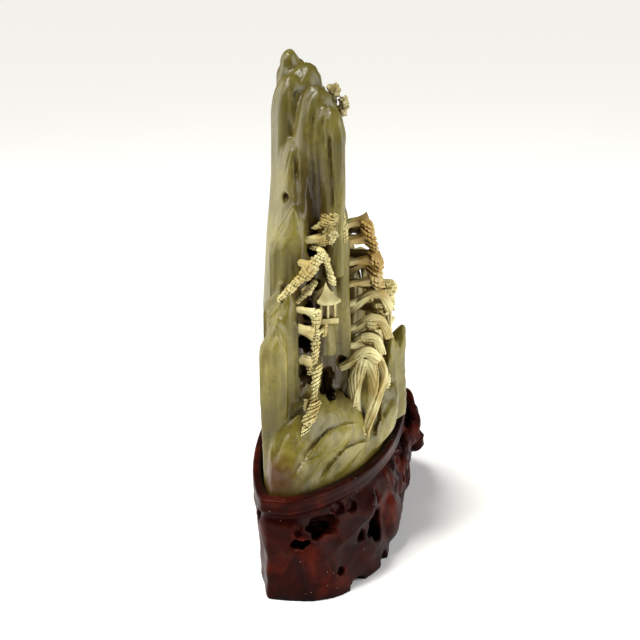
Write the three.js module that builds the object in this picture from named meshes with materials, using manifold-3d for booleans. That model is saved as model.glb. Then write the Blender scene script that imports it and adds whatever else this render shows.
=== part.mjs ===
// A soapstone mountain on its carved wooden stand.
// Millimetres, +Z up, the carved front faces -Y, the polished back faces +Y,
// the length runs along X and the origin is the middle of the underside.
import * as THREE from 'three';
import { mergeVertices } from 'three/addons/utils/BufferGeometryUtils.js';
import Module from 'manifold-3d';

const wasm = await Module();
wasm.setup();

// Driving dimensions
const LENGTH = 222;
const DEPTH = 106;
const HEIGHT = 292;
const STAND_HEIGHT = 62;

// The stone sits in a shallow seat inside the stand's rim
const SEAT_DEPTH = 8;
const SEAT_Z = STAND_HEIGHT - SEAT_DEPTH;
const RIM_WIDTH = 5;
const GAP = 0.3;

const HALF = LENGTH / 2;
const FRONT = -DEPTH / 2;
const BACK = DEPTH / 2;
const RIM_FRONT = FRONT + 11;
const RIM_BACK = BACK - 8;
const WIDEST_X = 15;

const STONE_COLOUR = 0x9c9760;
const STAND_COLOUR = 0x4a1712;

// Small tools

function mix(a, b, t) {
  return a + (b - a) * t;
}

function solid(geometry) {
  const bare = geometry.index ? geometry.toNonIndexed() : geometry;
  bare.deleteAttribute('normal');
  bare.deleteAttribute('uv');
  const merged = mergeVertices(bare, 1e-4);
  const mesh = new wasm.Mesh({
    numProp: 3,
    vertProperties: new Float32Array(merged.attributes.position.array),
    triVerts: new Uint32Array(merged.index.array),
  });
  return new wasm.Manifold(mesh);
}

// A closed form of stacked rings. place(x, y, row) moves the point (x, y) of the
// unit circle in that row; row 0 is the lowest. A pointed form ends in a single point.
function form(sides, rows, place, pointed = false) {
  const geometry = new THREE.CylinderGeometry(pointed ? 0 : 1, 1, 1, sides, rows);
  geometry.rotateX(Math.PI / 2);
  const points = geometry.attributes.position;
  for (let i = 0; i < points.count; i++) {
    const row = Math.round((points.getZ(i) + 0.5) * rows);
    const taper = pointed && row < rows ? 1 - row / rows : 1;
    const spot = place(points.getX(i) / taper, points.getY(i) / taper, row);
    points.setXYZ(i, spot[0], spot[1], spot[2]);
  }
  return solid(geometry);
}

function joined(parts) {
  let level = parts;
  while (level.length > 1) {
    const next = [];
    for (let i = 0; i < level.length; i += 2) {
      next.push(i + 1 < level.length ? level[i].add(level[i + 1]) : level[i]);
    }
    level = next;
  }
  return level[0];
}

// An upright rock: a column that narrows through its crown to its tip. sharp is 0 for a
// round head and 1 for a straight point; nod moves the tip sideways.
const ROUND_STEPS = [0, 0.5, 0.82, 1];
const SHARP_STEPS = [0, 0.55, 1];

function upright(rock) {
  const { at, half, foot, top, crown, sharp = 0, sides = 8, turn = 0, nod = [0, 0], spread = 1.1 } = rock;
  const shaft = top - foot - crown;
  const profile = [{ z: foot, wide: spread, bend: 0 }];
  for (const step of sharp < 0.5 ? ROUND_STEPS : SHARP_STEPS) {
    const wide = mix(Math.sqrt(1 - step * step), 1 - step, sharp);
    profile.push({ z: foot + shaft + crown * step, wide, bend: step * step });
  }
  const angle = THREE.MathUtils.degToRad(turn);
  return form(sides, profile.length - 1, (x, y, row) => {
    const { z, wide, bend } = profile[row];
    const px = x * half[0] * wide;
    const py = y * half[1] * wide;
    return [
      at[0] + nod[0] * bend + px * Math.cos(angle) - py * Math.sin(angle),
      at[1] + nod[1] * bend + px * Math.sin(angle) + py * Math.cos(angle),
      z,
    ];
  }, true);
}

// A bar, branch or root along a smooth path; lobes wind round it like strands
function limb(path, radii, { sides = 6, rows = 4, lobes = 0, depth = 0, turns = 0, waist = 0 } = {}) {
  const curve = new THREE.CatmullRomCurve3(path.map((p) => new THREE.Vector3(...p)));
  const frames = curve.computeFrenetFrames(rows);
  return form(sides, rows, (x, y, row) => {
    const t = row / rows;
    const around = Math.atan2(y, x) + turns * 2 * Math.PI * t;
    const strand = 1 - depth * (0.5 - 0.5 * Math.cos(lobes * around));
    const radius = mix(radii[0], radii[1], t) * strand * (1 - waist * Math.sin(Math.PI * t));
    const centre = curve.getPoint(t);
    centre.addScaledVector(frames.normals[row], x * radius);
    centre.addScaledVector(frames.binormals[row], y * radius);
    return centre.toArray();
  });
}

// An egg-shaped lump, or with a cut the tool for a hollow
function egg(at, half, { turn = 0, tilt = 0, sides = 6, rows = 4 } = {}) {
  const geometry = new THREE.SphereGeometry(1, sides, rows);
  geometry.rotateX(Math.PI / 2);
  geometry.scale(...half);
  geometry.rotateY(THREE.MathUtils.degToRad(tilt));
  geometry.rotateZ(THREE.MathUtils.degToRad(turn));
  geometry.translate(...at);
  return solid(geometry);
}

// Plan of the stand and of the hillside: a boat with two blunt noses, set towards the
// back. full says how square each side is, the front one first.
const NOSE = 11;
const BLUNT = 7;
const FULL = [2.5, 1.7];
const SHOULDER = 0.75;

function boat(x, y, { near, far, front, back, nose = NOSE, blunt = BLUNT, full = FULL }) {
  const isCentre = Math.hypot(x, y) < 0.5;
  const along = WIDEST_X + x * (x < 0 ? WIDEST_X - near : far - WIDEST_X);
  const side = y < 0 ? nose - front : back - nose;
  const square = y < 0 ? full[0] : full[1];
  const swell = Math.pow(Math.max(0, 1 - Math.pow(Math.abs(x), square)), SHOULDER);
  const atTip = isCentre || Math.abs(y) < 0.01;
  return [along, atTip ? nose : nose + Math.sign(y) * (blunt + (side - blunt) * swell)];
}

// The stand

const PLAN_SIDES = 32;

// Each row of the stand: its height, how far the ends, the front and the back stand
// inside the rim, where its noses are, how blunt they are and how square its plan is
const STAND_ROWS = [
  { z: 0, ends: 3.5, front: 0, back: 4.5, nose: 4, blunt: 11, full: [4.2, 1.6] },
  { z: 9, ends: 3.5, front: -0.5, back: 4.5, nose: 5, blunt: 10, full: [3.9, 1.6] },
  { z: 24, ends: 3, front: -1.5, back: 3.5, nose: 6, blunt: 9, full: [3.2, 1.6] },
  { z: 38, ends: 2, front: -2.5, back: 2.5, nose: 8, blunt: 8, full: [2.7, 1.6] },
  { z: 48, ends: 2.5, front: 1, back: 1.5, nose: 10 },
  { z: 51, ends: 4.5, front: 4, back: 3.5 },
  { z: 54, ends: 1, front: 0.5, back: 1 },
  { z: STAND_HEIGHT - 1.5, ends: 0, front: 0, back: 0 },
  { z: STAND_HEIGHT, ends: 1, front: 1, back: 1 },
];

function outline(x, y, { ends, front, back, nose, blunt, full }) {
  const reach = { near: ends - HALF, far: HALF - ends, front: RIM_FRONT + front, back: RIM_BACK - back };
  return boat(x, y, { ...reach, nose, blunt, full });
}

// The rockwork swells and sinks round the stand below its rim
const SWELL = 1.5;
const SWELLS_ROUND = 11;
const BROAD_SWELLS = 5;
const RIM_ROW = 5;

function standBody() {
  return form(PLAN_SIDES, STAND_ROWS.length - 1, (x, y, row) => {
    const level = STAND_ROWS[row];
    const [px, py] = outline(x, y, level);
    const angle = Math.atan2(y, x);
    const small = Math.sin(SWELLS_ROUND * angle + level.z * 0.06);
    const broad = Math.sin(BROAD_SWELLS * angle - level.z * 0.1);
    const swell = row < RIM_ROW ? SWELL * (small + 0.6 * broad) : 0;
    return [px + x * swell * 0.5, py + y * swell, level.z];
  });
}

function seatCut() {
  const plan = { ends: RIM_WIDTH + 2, front: RIM_WIDTH, back: RIM_WIDTH, blunt: 4 };
  const heights = [SEAT_Z, STAND_HEIGHT + 5];
  return form(PLAN_SIDES, 1, (x, y, row) => [...outline(x, y, plan), heights[row]]);
}

// Holes in the rockwork: place, half sizes, and the way each one faces
const STAND_HOLES = [
  { at: [-61, -39, 27], half: [3.8, 9, 7.5], turn: -28 },
  { at: [-54, -41, 41], half: [2.2, 6, 3], turn: -20 },
  { at: [-77, -33, 27], half: [2.4, 6, 4], turn: -40 },
  { at: [-97, -22, 13], half: [3, 5, 3], turn: -55 },
  { at: [-75, -28, 44], half: [5, 7, 3.2], turn: -38 },
  { at: [-105, -1, 37], half: [7, 3.6, 3.2], turn: 0 },
  { at: [-98, -12, 47], half: [6, 7, 3], turn: -50 },
  { at: [-16, -43, 20], half: [6, 7, 8], turn: -6 },
  { at: [4, -45, 40], half: [14, 7, 12], turn: 0 },
  { at: [78, -38, 22], half: [6, 8, 8], turn: 30 },
  { at: [52, 40, 26], half: [8, 7, 8], turn: 0 },
];

// Roots that bulge out of the front and, plainer, out of the back
const ROOTS = [
  {
    path: [[96, -20, 44], [80, -34.5, 57], [64, -40, 53], [46, -45, 50], [28, -42, 42], [12, -38, 26]],
    radii: [5.5, 6],
  },
  { path: [[60, -38, 52], [52, -44, 42], [54, -39, 27], [48, -31, 8]], radii: [5, 5.5] },
  { path: [[32, -38, 52], [24, -42, 44], [34, -40, 28], [26, -36, 10]], radii: [4.5, 6] },
  { path: [[14, 34, 10], [30, 41, 24], [48, BACK - 5.1, 38], [74, 32, 50]], radii: [6, 6] },
];

const ROOT_KNOTS = [
  [[62, -41, 52], [8, 6, 6]],
  [[38, -43.5, 45], [7, 7, 7]],
  [[46, FRONT + 7, 39.5], [7, 7, 8.5]],
  [[20, -39, 30], [7, 6, 7]],
  [[-26, -37.5, 18], [22, 9.5, 17.5]],
];

// Shallow arches under the lower edge leave the stand on broad feet
const ARCHES = [
  { at: [-84, -34], half: [8, 12, 5], turn: -35 },
  { at: [-53, -47], half: [7.5, 10, 10], turn: 0 },
  { at: [-6, -50], half: [20, 10, 5], turn: 0 },
  { at: [84, -34], half: [10, 10, 6], turn: 35 },
  { at: [-10, 47], half: [22, 10, 6], turn: 0 },
];

function carvedStand() {
  const roots = ROOTS.map(({ path, radii }) => limb(path, radii, { sides: 6, rows: 5 }));
  const knots = ROOT_KNOTS.map(([at, half]) => egg(at, half, { sides: 8 }));
  const holes = STAND_HOLES.map(({ at, half, turn }) => egg(at, half, { turn }));
  const arches = ARCHES.map(({ at, half, turn }) => egg([...at, 0], half, { turn }));
  return standBody()
    .subtract(joined(holes))
    .add(joined([...roots, ...knots]))
    .subtract(joined(arches))
    .subtract(seatCut());
}

// The mountain

// Each row of the core: the hillside at the foot, then the wall that the peaks grow from
const CORE_SIDES = 20;
const CORE_ROWS = [
  { z: SEAT_Z + GAP, near: -103, far: 103, front: -36, back: 39, blunt: 4 },
  { z: 76, near: -98, far: 98, front: -35, back: 38.5, blunt: 4, full: [2.6, 1.8] },
  { z: 90, near: -91, far: 92, front: -29, back: 38, blunt: 4, full: [3, 2] },
  { z: 101, near: -86, far: 88, front: -20, back: 37.5, blunt: 4, full: [3.2, 2.2] },
  { z: 106, near: -80, far: 84, front: -8, back: 37.5, blunt: 4 },
  { z: 150, near: -70, far: 70, front: -2, back: 38.5, blunt: 4, full: [2.3, 3] },
  { z: 190, near: -56, far: 54, front: -2, back: 37.5, blunt: 4, full: [2.3, 3] },
  { z: 240, near: -40, far: 34, front: -1, back: 34.3, blunt: 4, full: [2.3, 3] },
  { z: 270, near: -16, far: 18, front: 8, back: 30, nose: 18, blunt: 4 },
];

function core() {
  return form(CORE_SIDES, CORE_ROWS.length - 1, (x, y, row) => {
    return [...boat(x, y, CORE_ROWS[row]), CORE_ROWS[row].z];
  });
}

// Round-headed columns of the tall peak and of the lower cliffs
const COLUMNS = [
  { at: [-29, 2.5], half: [14, 15.5], foot: 98, top: 276, crown: 30, sharp: 0.3, nod: [2, 3], sides: 11 },
  { at: [-38, -7], half: [6.5, 6.5], foot: 170, top: 266, crown: 16, nod: [2, 2] },
  { at: [-41, -10], half: [4.5, 4.5], foot: 170, top: 257, crown: 12, nod: [1, 1], sides: 6 },
  { at: [-20, -2.5], half: [9, 9], foot: 97, top: 263, crown: 20 },
  { at: [-19, 20.5], half: [15, 11.8], foot: 180, top: 281, crown: 24, sides: 9 },
  { at: [-10, 14], half: [13, 10.4], foot: 220, top: 286, crown: 14, sides: 9 },
  { at: [7, 24.5], half: [14, 11], foot: 220, top: 287, crown: 12, sides: 9 },
  { at: [3, 25.6], half: [7, 6.3], foot: 276, top: HEIGHT, crown: 8, sides: 8 },
  { at: [9, 6], half: [12, 11], foot: 99, top: 268, crown: 24, sharp: 0.3, sides: 8 },
  { at: [26, 15], half: [13, 16], foot: 99, top: 260, crown: 34, sharp: 0.4, nod: [-2, 3], spread: 1.4 },
  { at: [21, 4], half: [9, 8], foot: 98, top: 243, crown: 22, sharp: 0.3 },
  { at: [41, 15], half: [11, 14], foot: 97, top: 226, crown: 36, sharp: 0.4, nod: [-3, 2], spread: 1.5 },
  { at: [36, 4], half: [9, 8], foot: 98, top: 206, crown: 26, sharp: 0.3, nod: [-2, 1], spread: 1.5 },
  { at: [8, -11], half: [10, 9], foot: 96, top: 166, crown: 26, sharp: 0.4, spread: 1.3 },
  { at: [-35, -9], half: [5, 8.5], foot: 92, top: 199, crown: 9, sharp: 0.4 },
  { at: [-40, -4], half: [4.5, 7], foot: 96, top: 168, crown: 9, sharp: 0.4, sides: 6 },
];

// Pointed rocks that step up to the tall peak from both ends, and a spur at the front
const BLADES = [
  { at: [-55, 17], half: [9, 10.5], foot: 90, top: 213, crown: 22, nod: [0, -5], turn: 12 },
  { at: [-67, 21], half: [6.5, 7.5], foot: 80, top: 171, crown: 20, nod: [0, -3], turn: 15 },
  { at: [-75, 15], half: [7.5, 10], foot: 70, top: 171, crown: 18, nod: [0, -6.5], turn: 15 },
  { at: [-85, 18.5], half: [8, 8], foot: 66, top: 157, crown: 20, nod: [0, -3.5], turn: 20 },
  { at: [55, 15], half: [12, 15], foot: 80, top: 200, crown: 44, nod: [-4, 0], turn: -10, spread: 1.3 },
  { at: [50, 1], half: [9, 8], foot: 96, top: 170, crown: 30, nod: [-2, 0], spread: 1.3 },
  { at: [69, 17], half: [11, 13], foot: 80, top: 166, crown: 38, nod: [-3, -2], turn: -18, spread: 1.3 },
  { at: [81, 16], half: [9, 11], foot: 70, top: 134, crown: 30, nod: [-2, 0], turn: -25, spread: 1.3 },
  { at: [21, -36], half: [9, 6.4], foot: 66, top: 125, crown: 18, nod: [-1, -3], turn: 12 },
];

// Low rocks along the front of the hillside
const FRONT_ROCKS = [
  { at: [-6, -30], half: [9, 7], top: 98 },
  { at: [9, -33], half: [8, 6.5], top: 122 },
  { at: [34, -34], half: [8, 7], top: 115 },
  { at: [47, -33], half: [10, 7.5], top: 102 },
  { at: [64, -27], half: [10, 8], top: 92 },
  { at: [79, -16], half: [9, 8], top: 86 },
];

// Folds that run up the hillside like drapery, thickest half way: a path just under the
// surface, then the thickness at its foot and at its head
const FOLDS = [
  { path: [[-94, 8, 76], [-86, 4, 87], [-73, -3, 99]], radii: [2, 3] },
  { path: [[-94, 1, 62], [-84, -4.3, 77], [-73, -11.5, 84], [-54, -20, 84]], radii: [2, 3] },
  { path: [[-82, -9.5, 60], [-72, -14.5, 68], [-62, -18.5, 73], [-45, -26, 72]], radii: [2, 3] },
  { path: [[-38, -27, 60], [-26, -28, 74], [-8, -25, 90]], radii: [3, 3] },
  { path: [[56, -24, 60], [74, -15, 75], [84, -4, 90]], radii: [3, 2] },
  { path: [[88, -8, 58], [89, 0, 76], [82, 10, 95]], radii: [2, 2] },
];

// Trees: flat leaf pads heaped along a path, each wide above and narrow below, so
// that the heap is one stepped column
const PAD_PITCH = 5.8;
const PAD_SIDES = 5;

function foliage({ path, half, wobble = 0.2, tilt = 0, turn = 0, pitch = PAD_PITCH }) {
  const upward = path[0][2] < path[path.length - 1][2] ? path : [...path].reverse();
  const curve = new THREE.CatmullRomCurve3(upward.map((p) => new THREE.Vector3(...p)));
  const pads = Math.max(2, Math.round(curve.getLength() / pitch));
  const spin = new THREE.Euler(THREE.MathUtils.degToRad(tilt), 0, THREE.MathUtils.degToRad(turn), 'ZYX');
  return form(PAD_SIDES, 2 * pads - 1, (x, y, row) => {
    const pad = Math.floor(row / 2);
    const isTop = row % 2 === 1;
    const t = (pad + (isTop ? 0.98 : 0)) / pads;
    const grow = 0.74 + 0.26 * Math.sin(Math.PI * (pad + 0.5) / pads) + wobble * Math.sin(pad * 2.4);
    const reach = isTop ? grow : grow * 0.7;
    const angle = Math.atan2(y, x) + pad * 0.5;
    const radius = Math.hypot(x, y) * reach;
    const across = [Math.cos(angle) * radius * half[0], Math.sin(angle) * radius * half[1]];
    const spot = new THREE.Vector3(...across, 0);
    spot.applyEuler(spin);
    spot.add(curve.getPoint(t));
    spot.x += Math.sin(pad * 1.3);
    spot.y += Math.cos(pad * 1.7);
    return spot.toArray();
  });
}

const TREES = [
  { path: [[-76, -2, 104], [-73, -3, 131], [-72, -4, 157]], half: [6.5, 6], tilt: -12 },
  { path: [[-75, 15, 168], [-67, 6, 178], [-61, -5, 190]], half: [6.5, 6], tilt: 24 },
  { path: [[-60, -11, 174], [-61, -8, 186], [-61, -3, 192]], half: [4, 4], tilt: 12 },
  { path: [[-46, 3, 190], [-43, -7, 200], [-41, -12, 207]], half: [7, 7.5], tilt: 10 },
  { path: [[-38, -16, 192], [-38, -15, 204]], half: [5, 5] },
  { path: [[-26, -25.5, 182], [-28, -24.5, 201]], half: [7, 5.6], tilt: 6 },
  { path: [[-23, -29.5, 163], [-26, -27, 180]], half: [8, 5.8], tilt: -16 },
  { path: [[-15, -33.5, 138], [-20, -31, 150], [-25, -27, 158]], half: [8, 5.8], tilt: -10 },
  { path: [[-27, -28, 130], [-30, -24, 150]], half: [7, 6.5], tilt: 14 },
  { path: [[-14, -8, 256], [-14, -6.5, 265], [-16, -1.5, 275]], half: [5, 4.5], tilt: 10 },
  { path: [[10, -20, 160], [12, -14, 174]], half: [8, 5], tilt: 8 },
  { path: [[37, -28, 132], [40, -24, 148]], half: [9, 7], tilt: 10 },
  { path: [[64, -16, 118], [62, -12, 134]], half: [8, 7], tilt: -8 },
];

// Struts left between the rock and the trees when the block was pierced
const STRUTS = [
  [[-80, 10, 146], [-72, -3, 145], 4],
  [[-78, 10, 128], [-73, -3, 131], 4],
  [[-82, 10, 108], [-75, -1, 112], 4.5],
  [[-60, 8, 190], [-44, -4, 194], 4.5],
  [[-57, 14, 181], [-65, 3, 182], 4.5],
  [[-58, 10, 160], [-60, -2, 163], 4.5],
  [[-34, -10, 195], [-27, -26, 203], 4],
  [[-34, -12, 185], [-26, -25, 188], 4],
  [[-34, -12, 172], [-26, -26, 175], 4.5],
  [[-34, -12, 159], [-26, -26, 162], 4.5],
  [[-34, -12, 146], [-26, -25, 150], 5],
  [[-36, -10, 132], [-28, -25, 137], 5],
  [[-42, -6, 122], [-32, -24, 128], 5.5],
  [[8, -12, 142], [-16, -33, 144], 5],
  [[36, -2, 140], [38, -25, 140], 5.5],
  [[60, 4, 126], [63, -13, 127], 5.5],
];

const TRUNKS = [
  { path: [[-40, -26, 78], [-40, -22, 96], [-36, -20, 110], [-29, -26, 130]], radii: [6, 4] },
  { path: [[-46, -22, 80], [-43, -19, 98], [-40, -18, 112], [-38, -12, 122]], radii: [5, 4] },
  { path: [[-28, -30, 78], [-27, -31, 98], [-24, -32, 114], [-26, -28, 130]], radii: [5, 4] },
  { path: [[-73, -6, 84], [-75, -3, 96], [-75, -2, 108]], radii: [6, 4] },
  { path: [[40, -28, 84], [44, -26, 108], [38, -27, 134]], radii: [6, 4] },
  { path: [[62, -18, 80], [66, -15, 100], [63, -15, 120]], radii: [5, 4] },
  { path: [[6, -28, 92], [12, -24, 126], [10, -19, 162]], radii: [5, 4] },
];

// A small open pavilion: floor, four posts, a back wall and a hollow-curved hip roof
function pavilion({ at, wide, deep, postHeight, roofHeight, turn }) {
  const floorThick = 3;
  const post = 1.3;
  const eaves = 1.42;
  const parts = [];
  const block = (x, y, z, sx, sy, sz) => {
    const geometry = new THREE.BoxGeometry(sx, sy, sz);
    geometry.translate(x, y, z);
    return geometry;
  };
  parts.push(block(0, 0, -floorThick / 2, wide * 1.25, deep * 1.25, floorThick));
  for (const sx of [-1, 1]) {
    for (const sy of [-1, 1]) {
      const x = sx * (wide - post) / 2;
      const y = sy * (deep - post) / 2;
      parts.push(block(x, y, postHeight / 2, post, post, postHeight + 1));
    }
  }
  parts.push(block(0, deep * 0.22, postHeight / 2, wide * 0.8, deep * 0.4, postHeight + 1));
  const rings = [[0, eaves], [0.12, eaves], [0.42, 0.66], [1, 0.12]];
  const roof = new THREE.CylinderGeometry(1, 1, 1, 4, rings.length - 1);
  roof.rotateX(Math.PI / 2);
  roof.rotateZ(Math.PI / 4);
  const points = roof.attributes.position;
  for (let i = 0; i < points.count; i++) {
    const [h, reach] = rings[Math.round((points.getZ(i) + 0.5) * (rings.length - 1))];
    points.setX(i, points.getX(i) * reach * wide * Math.SQRT1_2);
    points.setY(i, points.getY(i) * reach * deep * Math.SQRT1_2);
    points.setZ(i, postHeight + h * roofHeight);
  }
  parts.push(roof);
  return joined(parts.map((geometry) => {
    geometry.rotateZ(THREE.MathUtils.degToRad(turn));
    geometry.translate(...at);
    return solid(geometry);
  }));
}

const PAVILIONS = [
  { at: [-54, -5, 151], wide: 12, deep: 11, postHeight: 8, roofHeight: 11, turn: 30 },
  { at: [50, -21, 106], wide: 14, deep: 12, postHeight: 9, roofHeight: 12, turn: -6 },
];

// Rock ledges that carry the pavilions
const LEDGES = [
  { at: [-52, -2], half: [9, 10], foot: 128, top: 151, crown: 6 },
  { at: [50, -18], half: [13, 12], foot: 70, top: 106, crown: 8 },
];

// Deep hollows cut back into the block behind the trees
const HOLLOWS = [
  [[-47, -12, 113], [13, 12, 12]],
  [[-66, -4, 140], [7, 7, 12]],
  [[-66, -4, 118], [7, 7, 9]],
];

function mountain() {
  const columns = COLUMNS.map((column) => upright({ sides: 7, ...column }));
  const blades = BLADES.map((blade) => upright({ ...blade, sharp: 0.7, sides: 7 }));
  const frontRocks = FRONT_ROCKS.map((rock) => {
    return upright({ ...rock, foot: 68, crown: 16, sharp: 0.5, sides: 5 });
  });
  const ledges = LEDGES.map((ledge) => upright({ ...ledge, sides: 6 }));
  const folds = FOLDS.map(({ path, radii }) => limb(path, radii, { sides: 6, rows: 4, waist: -1.3 }));
  const hollows = HOLLOWS.map(([at, half]) => egg(at, half));
  const rock = core().add(joined([...columns, ...blades, ...ledges])).subtract(joined(hollows));
  const trunks = TRUNKS.map(({ path, radii }) => {
    return limb(path, radii, { sides: 6, rows: 4, lobes: 3, depth: 0.3, turns: 0.4 });
  });
  const struts = STRUTS.map(([from, to, radius]) => {
    return limb([from, to], [radius, radius * 0.8], { sides: 4, rows: 2, waist: 0.4 });
  });
  const trees = TREES.map(foliage);
  const pavilions = PAVILIONS.map(pavilion);
  return rock.add(joined([...folds, ...frontRocks, ...trunks, ...struts, ...trees, ...pavilions]));
}

// The two pieces

function named(name, piece, colour, roughness) {
  const mesh = piece.getMesh();
  const geometry = new THREE.BufferGeometry();
  geometry.setAttribute('position', new THREE.BufferAttribute(mesh.vertProperties, 3));
  geometry.setIndex(new THREE.BufferAttribute(mesh.triVerts, 1));
  const material = new THREE.MeshStandardMaterial({ color: colour, roughness, metalness: 0 });
  const result = new THREE.Mesh(geometry, material);
  result.name = name;
  return result;
}

const carving = new THREE.Group();
carving.add(named('carved_stand', carvedStand(), STAND_COLOUR, 0.3));
carving.add(named('mountain_carving', mountain(), STONE_COLOUR, 0.4));

export default carving;
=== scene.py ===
import math
import random

import bmesh
import bpy
from mathutils import Euler, Matrix, Vector, bvhtree, noise


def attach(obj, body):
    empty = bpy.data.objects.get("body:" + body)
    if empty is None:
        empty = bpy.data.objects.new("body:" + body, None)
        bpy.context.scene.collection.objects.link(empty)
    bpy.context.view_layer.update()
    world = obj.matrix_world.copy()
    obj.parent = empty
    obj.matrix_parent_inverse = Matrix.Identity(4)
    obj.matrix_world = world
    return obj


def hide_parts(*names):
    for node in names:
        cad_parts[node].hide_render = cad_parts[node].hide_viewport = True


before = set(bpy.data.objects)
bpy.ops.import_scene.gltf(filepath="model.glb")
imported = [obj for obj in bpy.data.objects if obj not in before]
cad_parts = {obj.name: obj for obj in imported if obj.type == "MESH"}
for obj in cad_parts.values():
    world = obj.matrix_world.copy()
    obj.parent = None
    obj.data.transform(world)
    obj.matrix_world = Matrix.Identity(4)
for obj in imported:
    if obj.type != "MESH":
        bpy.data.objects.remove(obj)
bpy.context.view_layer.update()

# The view and the light
# A camera close to the narrow near end, a little above it, as the carving was
# photographed; a pale floor, a soft key from the upper left and a weak fill.
VIEW_AZIMUTH, VIEW_ELEVATION = -79, 17
VIEW_TARGET = Vector((-0.060, -0.004, 0.150))
VIEW_DISTANCE = 0.700
VIEW_LENS = 70.8


def linear(hexcode):
    channels = [int(hexcode[i:i + 2], 16) / 255 for i in (1, 3, 5)]
    return tuple(c / 12.92 if c <= 0.04045 else ((c + 0.055) / 1.055) ** 2.4 for c in channels) + (1,)


def add_node(material, kind, inputs=None, **settings):
    node = material.node_tree.nodes.new(kind)
    for name, value in settings.items():
        setattr(node, name, value)
    for name, value in (inputs or {}).items():
        if isinstance(value, bpy.types.NodeSocket):
            material.node_tree.links.new(value, node.inputs[name])
        else:
            node.inputs[name].default_value = value
    return node


def only(piece):
    if bpy.context.object and bpy.context.object.mode != "OBJECT":
        bpy.ops.object.mode_set(mode="OBJECT")
    bpy.ops.object.select_all(action="DESELECT")
    piece.select_set(True)
    bpy.context.view_layer.objects.active = piece


bpy.ops.object.select_all(action="DESELECT")
azimuth, elevation = math.radians(VIEW_AZIMUTH), math.radians(VIEW_ELEVATION)
backwards = Vector((
    math.sin(azimuth) * math.cos(elevation),
    -math.cos(azimuth) * math.cos(elevation),
    math.sin(elevation),
))
bpy.ops.object.camera_add(location=VIEW_TARGET + backwards * VIEW_DISTANCE)
camera = bpy.context.object
camera.rotation_euler = (-backwards).to_track_quat("-Z", "Y").to_euler()
camera.data.lens = VIEW_LENS
camera.data.sensor_width = 36
camera.data.clip_start = 0.01
bpy.context.scene.camera = camera

bpy.ops.object.light_add(type="SUN", location=(0, 0, 1))
overhead = bpy.context.object
overhead.data.energy = 3.0
overhead.data.angle = math.radians(16)
overhead.data.color = (1.0, 0.98, 0.93)
overhead.rotation_euler = Vector((0.22, -0.30, -1)).to_track_quat("-Z", "Y").to_euler()

# place, size and power of each softbox: a key high on the left, and two behind that
# put the pale line along both edges
SOFTBOXES = [
    ((-0.60, 0.55, 0.90), 0.25, 3.2),
    ((0.05, 1.00, 0.40), 1.00, 9.0),
    ((0.00, -1.00, 0.50), 1.00, 12.0),
]
for place, size, power in SOFTBOXES:
    bpy.ops.object.light_add(type="AREA", location=place)
    lamp = bpy.context.object
    lamp.data.size = size
    lamp.data.energy = power
    lamp.rotation_euler = (Vector((0, 0, 0.15)) - lamp.location).to_track_quat("-Z", "Y").to_euler()

# the studio is dim, but what the camera sees beyond the floor is white paper
world = bpy.data.worlds.new("studio")
bpy.context.scene.world = world
world.use_nodes = True
seen = world.node_tree.nodes.new("ShaderNodeLightPath")
strength = world.node_tree.nodes.new("ShaderNodeMapRange")
strength.inputs["To Min"].default_value = 0.08
strength.inputs["To Max"].default_value = 1.0
background = world.node_tree.nodes["Background"]
world.node_tree.links.new(seen.outputs["Is Camera Ray"], strength.inputs["Value"])
world.node_tree.links.new(strength.outputs["Result"], background.inputs["Strength"])
background.inputs["Color"].default_value = (1, 1, 1, 1)
bpy.context.scene.view_settings.view_transform = "Standard"

bpy.ops.mesh.primitive_plane_add(size=20, location=(0, 0, 0))
floor = bpy.context.object
floor.name = "floor"
pale_paper = bpy.data.materials.new("pale_paper")
pale_paper.use_nodes = True
pale_paper.node_tree.nodes["Principled BSDF"].inputs["Base Color"].default_value = linear("#fbfbfa")
pale_paper.node_tree.nodes["Principled BSDF"].inputs["Roughness"].default_value = 0.9
floor.data.materials.append(pale_paper)

# The rock of the mountain
# Soapstone, roughed out as a steep wall on a hillside, then cut into round-headed
# columns, flat chiselled blades and drapery folds. Every size here is in millimetres.
STAND_TOP = 62.0
SEAT = 54.0
STONE_FOOT = SEAT + 0.3
LENGTH, DEPTH, HEIGHT = 222.0, 106.0, 292.0
WIDEST_X = 15.0


def mix(a, b, t):
    return a + (b - a) * t


def form(sides, rows, place):
    """A closed form: a sphere whose rings, from the foot up, are set one by one."""
    bpy.ops.object.select_all(action="DESELECT")
    bpy.ops.mesh.primitive_uv_sphere_add(segments=sides, ring_count=rows + 2, radius=1)
    piece = bpy.context.object
    for v in piece.data.vertices:
        polar = math.acos(max(-1.0, min(1.0, v.co.z)))
        ring = round((1 - polar / math.pi) * (rows + 2)) - 1
        flat = math.hypot(v.co.x, v.co.y)
        if ring < 0 or ring > rows or flat < 1e-6:
            v.co = Vector(place(0.0, 0.0, 0.0 if ring < rows / 2 else 1.0)) / 1000
        else:
            v.co = Vector(place(v.co.x / flat, v.co.y / flat, ring / rows)) / 1000
    return piece


def joined(pieces, name):
    bpy.ops.object.select_all(action="DESELECT")
    for piece in pieces:
        piece.select_set(True)
    bpy.context.view_layer.objects.active = pieces[0]
    if len(pieces) > 1:
        bpy.ops.object.join()
    result = bpy.context.object
    result.name = result.data.name = name
    return result


def fused(piece, voxel_mm):
    """Grows all the forms of a piece into one skin."""
    only(piece)
    remesh = piece.modifiers.new("fuse", "REMESH")
    remesh.mode = "VOXEL"
    remesh.voxel_size = voxel_mm / 1000
    bpy.ops.object.modifier_apply(modifier=remesh.name)
    return piece


def cut(piece, tool):
    only(piece)
    boolean = piece.modifiers.new("cut", "BOOLEAN")
    boolean.operation = "DIFFERENCE"
    boolean.solver = "MANIFOLD"
    boolean.object = tool
    bpy.ops.object.modifier_apply(modifier=boolean.name)
    bpy.data.objects.remove(tool)
    return piece


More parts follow.
